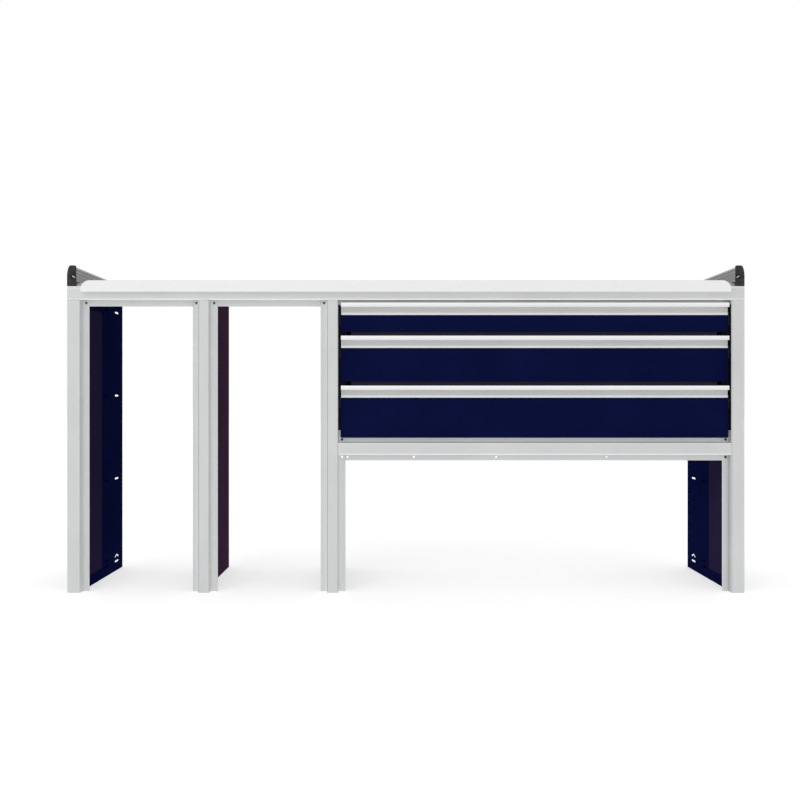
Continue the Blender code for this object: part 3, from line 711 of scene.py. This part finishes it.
def make_cover(word, side):
    """A flat outer sheet with rounded corners, held by countersunk screws."""
    name = "outer_cover_" + word
    low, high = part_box(name)
    outline = rounded(rectangle(low.y, low.z, high.y, high.z), 4.0 * MM, steps=5)
    cover = finish(name + "_shape", flat_sheet(outline, low.x, high.x), "navy", SLOTS[name], "root", name)
    face = high.x if side > 0 else low.x
    radius = 3.6 * MM
    sink = [(radius * 0.5, -1.15 * MM, 0.0), (radius * 1.05, -0.1 * MM, 0.0), (radius * 1.05, 0.5 * MM, 0.0)]
    places = []
    holes = bmesh.new()
    for y in (low.y + 14 * MM, high.y - 14 * MM):
        for share in (0.03, 0.27, 0.5, 0.73, 0.97):
            centre = (face, y, low.z + (high.z - low.z) * share)
            places.append((centre, (side, 0, 0), radius))
            turned(holes, centre, (side, 0, 0), sink)
    cut(cover, holes)
    screws("cover_screws_" + word, "screw", "screw_black", "root", places, add=add_flush_screw)


# ---- top ----
def make_worktop():
    """The board: its upper side edges are rounded, its front lip hangs in front of the rail."""
    low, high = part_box("worktop")
    radius, bevel, steps = 27.0 * MM, 1.0 * MM, 16
    half = [(Vector((high.x - bevel, low.z)), 1.0), (Vector((high.x, low.z + bevel)), 1.0)]
    for k in range(steps + 1):
        angle = math.radians(90 * k / steps)
        half.append((Vector((high.x - radius + radius * math.cos(angle),
                             high.z - radius + radius * math.sin(angle))), 0.0))
    outline = half + [(Vector((-point.x, point.y)), edge) for point, edge in reversed(half)]
    bm = drawn("Y", [outline], low.y, high.y, margin=6 * MM)
    round_rims(bm, (low.y, high.y), 1.6 * MM, segments=4)
    worktop = finish("worktop_board", bm, "white", SLOTS["worktop"], "root", "worktop")
    over, beyond = 5 * MM, 1.1
    rebate = bmesh.new()
    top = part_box("top_front_rail")[1].z + GAP
    block(rebate, (-beyond, FRONT - GAP, low.z - over), (beyond, high.y + over, top))
    cut(worktop, rebate)


def make_seals():
    """The black rubber strips that close the bay's sides; each has a rib, and a lip behind the fronts.

    Their outline is in millimetres: out from the post's wall, and back from the posts' fronts.
    """
    spans = post_spans()
    left_wall, right_wall = spans[2][3], spans[3][2]
    for word, wall, side, bulge in (("left", left_wall, 1, 2.6), ("right", right_wall, -1, 1.6)):
        low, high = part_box("runner_carrier_" + word)
        shape = [(-0.3, 2.5), (1.5, 2.5), (bulge, 5.5), (bulge, 7.0), (1.5, 8.0), (1.5, 19.3), (6.0, 19.3),
                 (6.0, 19.9), (-0.3, 19.9)]
        outline = [Vector((wall + side * u * MM, FRONT + depth * MM)) for u, depth in shape]
        bm = drawn("Z", [rounded(outline, 0.2 * MM)], low.z, high.z)
        finish("bay_seal_" + word, bm, "black", "black_plastic", "root")


def make_gallery():
    """The ribbed rails along the worktop's sides, with a cap on each end."""
    for word, side in SIDES:
        redrawn("gallery_rail_" + word, "Y", MIDDLE, 0.35 * MM)
        for end, face, inward in (("front", FRONT, 1), ("rear", BACK, -1)):
            make_cap("%s_%s" % (end, word), side, face, inward)


def make_cap(title, side, face, inward):
    """A moulded cap with its sunk screw, and a black wedge beside its inner side that tapers off inward;
    inward is the way along Y from its face into the rail.
    """
    screw_in, screw_up, recess_radius = 19.6 * MM, 28.0 * MM, 6.3 * MM
    name = "gallery_cap_" + title
    low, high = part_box(name)
    outline = rounded(section(name, "Y", face + inward * 4.5 * MM)[0], 1.0 * MM)
    bm = drawn("Y", [outline], low.y, high.y, margin=2.5 * MM)
    round_rims(bm, (face,), 0.7 * MM, segments=3)
    cap = finish(name + "_moulding", bm, "plastic", SLOTS[name], "root", name)
    outer, inner = (high.x, low.x) if side > 0 else (low.x, high.x)
    x, z = outer - side * screw_in, low.z + screw_up
    recess = bmesh.new()
    tube(recess, x, z, recess_radius, *sorted((face - inward * MM, face + inward * 3 * MM)), sides=40)
    cut(cap, recess)
    make_cap_screw(title, x, z, side, face, inward)
    # A black wedge that is thick beside the cap and thin 12.5 mm inward.
    wedge_shape = [(2.0, 9.4), (-12.5, 9.4), (-12.5, 10.4), (0.0, 13.4), (2.0, 13.4)]
    wedge_outline = rounded([Vector((inner + side * u * MM, low.z + v * MM)) for u, v in wedge_shape], 0.3 * MM)
    bm = drawn("Y", [wedge_outline], *sorted((face + inward * 0.8 * MM, face + inward * 4.4 * MM)))
    finish("cap_foot_" + title, bm, "plastic", "black_plastic", "root")


def make_cap_screw(title, x, z, side, face, inward):
    """A gallery cap's slotted screw: a dark head in its recess, with a bright slanting bar in the slot as a
    painted glint.
    """
    bm = bmesh.new()
    profile = [(r * MM, h * MM, 0.0) for r, h in ((4.9, 0.0), (5.2, 0.8), (4.9, 2.0), (4.2, 2.5))]
    turned(bm, (x, face + inward * 2.95 * MM, z), (0, -inward, 0), profile, sides=40)
    head = finish("cap_screw_" + title, bm, "screw", "zinc_steel", "root", sharp=50.0)
    along = Vector((side * 0.82, 0.57))
    across = Vector((-along.y, along.x))

    def bar(half_length, half_width, near, far):
        """A bar along the slant, from near to far behind the cap's face; all in millimetres."""
        corners = [Vector((x, z)) + (along * (a * half_length * MM) + across * (b * half_width * MM))
                   for a, b in ((-1, -1), (1, -1), (1, 1), (-1, 1))]
        ends = sorted((face + inward * near * MM, face + inward * far * MM))
        return drawn("Y", [rounded(corners, 0.3 * MM)], *ends, margin=0.3 * MM)

    cut(head, bar(8.0, 1.5, -1.0, 1.6))
    # Painted glint: a bright zinc bar in the slot, slanting like a glint on the head.
    finish("cap_slot_" + title, bar(5.0, 1.3, 0.9, 2.2), "zinc", "zinc_steel", "root")


# ---- drawers ----
def make_drawers():
    """Each drawer from its front back, with a skirt where there is a handle under it."""
    for number in DRAWERS:
        tag = "drawer_%d_" % number
        make_front(tag)
        make_handle(tag)
        redrawn(tag + "label", "X", DRAWER_BAY_X, 0.3 * MM)
        low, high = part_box(tag + "latch_bar")
        redrawn(tag + "latch_bar", "Z", (low.z + high.z) / 2, 0.5 * MM)
        for word, _ in SIDES:
            for kind in ("fixed", "middle", "drawer"):
                redrawn("%s%s_runner_%s" % (tag, kind, word), "Y", MIDDLE, 0.6 * MM)
            make_cages(number, word)
        make_tray(number)
        if number != DRAWERS[-1]:
            make_skirt(number)


def make_front(tag):
    """A drawer front with a pressed line and rounded lower corners."""
    front = redrawn(tag + "front", "X", DRAWER_BAY_X, 0.8 * MM, change=crease)
    low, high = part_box(tag + "front")
    radius = 4.0 * MM
    corners = bmesh.new()
    for x, side in ((low.x, 1), (high.x, -1)):
        add_corner(corners, x, low.z, side, radius, low.y - MM, high.y + MM)
    cut(front, corners)


def crease(loops):
    """A pressed line across a drawer front, a little under its top edge."""
    under_top, sink, half_width, half_flat = 24.0 * MM, 0.3 * MM, 3.2 * MM, 0.4 * MM
    outline = loops[0]
    front = min(p.x for p in outline)
    on_face = [abs(p.x - front) < ALONG_FACE for p in outline]
    line = max(p.y for p, on in zip(outline, on_face) if on) - under_top
    i = next(i for i in range(len(outline)) if on_face[i] and on_face[(i + 1) % len(outline)])
    rising = outline[(i + 1) % len(outline)].y > outline[i].y
    pressed = [Vector((front, line - half_width)), Vector((front + sink, line - half_flat)),
               Vector((front + sink, line + half_flat)), Vector((front, line + half_width))]
    outline[i + 1:i + 1] = pressed if rising else pressed[::-1]
    return loops


def add_corner(bm, x, z, side, radius, front, back):
    """The sliver outside a rounded lower corner, as a bar along Y; side is 1 at the left end."""
    steps = 8
    points = [(x - side * MM, z - MM), (x - side * MM, z + radius)]
    for k in range(steps + 1):
        angle = math.radians(180 + 90 * k / steps)
        points.append((x + side * (radius + radius * math.cos(angle)), z + radius + radius * math.sin(angle)))
    points.append((x + side * radius, z - MM))
    skin(bm, [[bm.verts.new((u, y, v)) for u, v in points] for y in (front, back)])


def make_handle(tag):
    """A drawer's handle; its nose gets a painted highlight, full at its top and fading out downwards."""
    handle = redrawn(tag + "handle", "X", DRAWER_BAY_X, 0.5 * MM, look="handle")
    under_top, rise = 14.5 * MM, 9.0 * MM
    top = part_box(tag + "handle")[1].z
    # Painted highlight: full down to 5.5 mm under the top, gone at 14.5 mm under it.
    mark_painted_light(handle, lambda place: (place.z - top + under_top) / rise)


def make_cages(number, word):
    """The outer and the inner ball cage of a runner: each has a strip of balls above and one below."""
    side = 1 if word == "left" else -1
    low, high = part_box("drawer_%d_fixed_runner_%s" % (number, word))
    plate = low.x - GAP if side > 0 else high.x + GAP
    centre = (low.z + high.z) / 2
    near, far = 0.01, 0.15
    for title, reach, across, ball, start, end in (
            ("outer", 19.7 * MM, 7.0 * MM, 1.0 * MM, high.y - far, high.y - near),
            ("inner", 16.5 * MM, 8.4 * MM, 0.8 * MM, low.y + near, low.y + far)):
        bm = bmesh.new()
        bm.verts.layers.float.new("edge")
        for sign in (-1, 1):
            add_cage(bm, plate + side * across, centre + sign * reach, ball, start, end)
        finish("drawer_%d_%s_cage_%s" % (number, title, word), bm, "zinc", "zinc_steel",
               "drawer_%d_runner" % number, sharp=50.0)


def add_cage(bm, x, z, ball, start, end):
    """A strip along Y with a row of balls in it."""
    half_width, half_height = 1.9 * MM, 0.25 * MM
    balls = 10
    strip = rectangle(x - half_width, z - half_height, x + half_width, z + half_height)
    part = drawn("Y", [rounded(strip, 0.15 * MM, steps=2)], start, end)
    mesh = bpy.data.meshes.new("strip")
    part.to_mesh(mesh)
    part.free()
    bm.from_mesh(mesh)
    bpy.data.meshes.remove(mesh)
    for k in range(balls):
        made = bmesh.ops.create_icosphere(bm, subdivisions=2, radius=ball)["verts"]
        bmesh.ops.translate(bm, verts=made, vec=(x, start + (end - start) * (k + 0.5) / balls, z))


def make_tray(number):
    """The folded drawer box, with a hemmed rim and the screws that hold the front."""
    body = "drawer_%d" % number
    name = body + "_box"
    softened(name, 0.5 * MM)
    low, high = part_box(name)
    outlines = []
    for inset, radius in ((1.3 * MM, 2.0 * MM), (2.4 * MM, 1.0 * MM)):
        corners = rectangle(low.x + inset, low.y + inset, high.x - inset, high.y - inset)
        outlines.append(rounded(corners, radius))
    bm = drawn("Z", outlines, high.z - 12 * MM, high.z - 0.2 * MM)
    finish(body + "_rim", bm, "tray", SLOTS[name], body)
    count, margin, radius, height = 5, 0.06, 4.5 * MM, 2.2 * MM
    y, z = low.y + 1.2 * MM, low.z + 22 * MM
    places = []
    for k in range(count):
        x = low.x + margin + (high.x - low.x - 2 * margin) * k / (count - 1)
        places.append(((x, y, z), (0, 1, 0), radius, height))
    screws(body + "_front_screws", "zinc", "zinc_steel", body, places)


def make_skirt(number):
    """The tray's folded skirt, which closes most of the gap above the next handle; its coat is the tray's
    grey darkened as painted shade.
    """
    body = "drawer_%d" % number
    low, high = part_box(body + "_box")
    face = low.y + 0.3 * MM
    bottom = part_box("drawer_%d_handle" % (number + 1))[1].z + 0.9 * MM
    shelf, top = low.z - 1.3 * MM, low.z - 0.2 * MM
    corners = ((face, bottom), (face + MM, bottom), (face + MM, shelf), (face + 14 * MM, shelf),
               (face + 14 * MM, top), (face, top))
    outline = rounded([Vector(corner) for corner in corners], 0.4 * MM)
    bm = drawn("X", [outline], low.x + 2 * MM, high.x - 2 * MM)
    # Painted shade: the skirt takes the darkened tray coat.
    finish(body + "_skirt", bm, "skirt", "tray_grey", body)


def carried_over():
    """CAD nodes whose shape stays get their finish."""
    for name, obj in NODES.items():
        if not obj.hide_render:
            obj.data.materials.clear()
            obj.data.materials.append(LOOKS[look_for(name)])


# ---- studio ----
# Places and sizes are in metres, powers in watts; the eye is where the camera stands.
LIGHTS = (
    {"name": "key", "place": (-1.5, -3.3, 3.0), "aim": (0.0, 0.0, 0.5), "size": 3.4, "power": 22.0},
    {"name": "fill", "place": (2.4, -2.6, 2.4), "aim": (0.2, 0.0, 0.5), "size": 2.4, "power": 1.0},
)
EYE = (-0.0174, FRONT - 2.548, 0.579)


def make_world(scene):
    """White where the camera sees it, and a dimmer light on the pieces."""
    world = bpy.data.worlds.new("studio")
    scene.world = world
    world.use_nodes = True
    tree = world.node_tree
    backdrop = tree.nodes["Background"]
    backdrop.inputs["Color"].default_value = (1.0, 1.0, 1.0, 1.0)
    seen = node(tree, "LightPath").outputs["Is Camera Ray"]
    tree.links.new(spread(tree, seen, 0.0, 1.0, 0.72, 1.0), backdrop.inputs["Strength"])


def make_lights(scene):
    """Two round lamps in front of the bench and above it."""
    for light in LIGHTS:
        data = bpy.data.lights.new(light["name"], "AREA")
        data.shape = "DISK"
        data.size = light["size"]
        data.energy = light["power"]
        lamp = bpy.data.objects.new(light["name"], data)
        lamp.location = light["place"]
        towards = Vector(light["aim"]) - Vector(light["place"])
        lamp.rotation_euler = towards.to_track_quat("-Z", "Y").to_euler()
        scene.collection.objects.link(lamp)


def make_floor(scene):
    """A pale floor just under the feet, bright enough to run into the backdrop."""
    bm = bmesh.new()
    bmesh.ops.create_grid(bm, x_segments=8, y_segments=8, size=30.0)
    mesh = bpy.data.meshes.new("floor")
    bm.to_mesh(mesh)
    bm.free()
    floor = bpy.data.objects.new("floor", mesh)
    floor.location.z = -0.0005
    scene.collection.objects.link(floor)
    mat = bpy.data.materials.new("pale_floor")
    mat.use_nodes = True
    tree = mat.node_tree
    shader = tree.nodes["Principled BSDF"]
    tone = blend(tree, noise(tree, 1.5, detail=3.0), (0.62, 0.62, 0.62), (0.66, 0.66, 0.66))
    tree.links.new(tone, shader.inputs["Base Color"])
    tree.links.new(spread(tree, noise(tree, 20.0), 0.3, 0.7, 0.7, 0.85), shader.inputs["Roughness"])
    shader.inputs["Emission Color"].default_value = (1.0, 1.0, 1.0, 1.0)
    shader.inputs["Emission Strength"].default_value = 0.58
    mesh.materials.append(mat)


def make_camera(scene):
    """A level camera in front of the bench."""
    data = bpy.data.cameras.new("camera")
    data.lens = 38.2
    data.sensor_width = 36.0
    camera = bpy.data.objects.new("camera", data)
    camera.location = EYE
    camera.rotation_euler = (math.pi / 2, 0.0, 0.0)
    scene.collection.objects.link(camera)
    scene.camera = camera


def make_studio():
    """World, lamps, floor and camera."""
    scene = bpy.context.scene
    scene.view_settings.view_transform = "Standard"
    make_world(scene)
    make_lights(scene)
    make_floor(scene)
    make_camera(scene)


make_studio()
make_posts()
make_rails()
make_corner_screws()
make_rail_screws()
make_sides()
make_worktop()
make_seals()
make_gallery()
make_drawers()
carried_over()
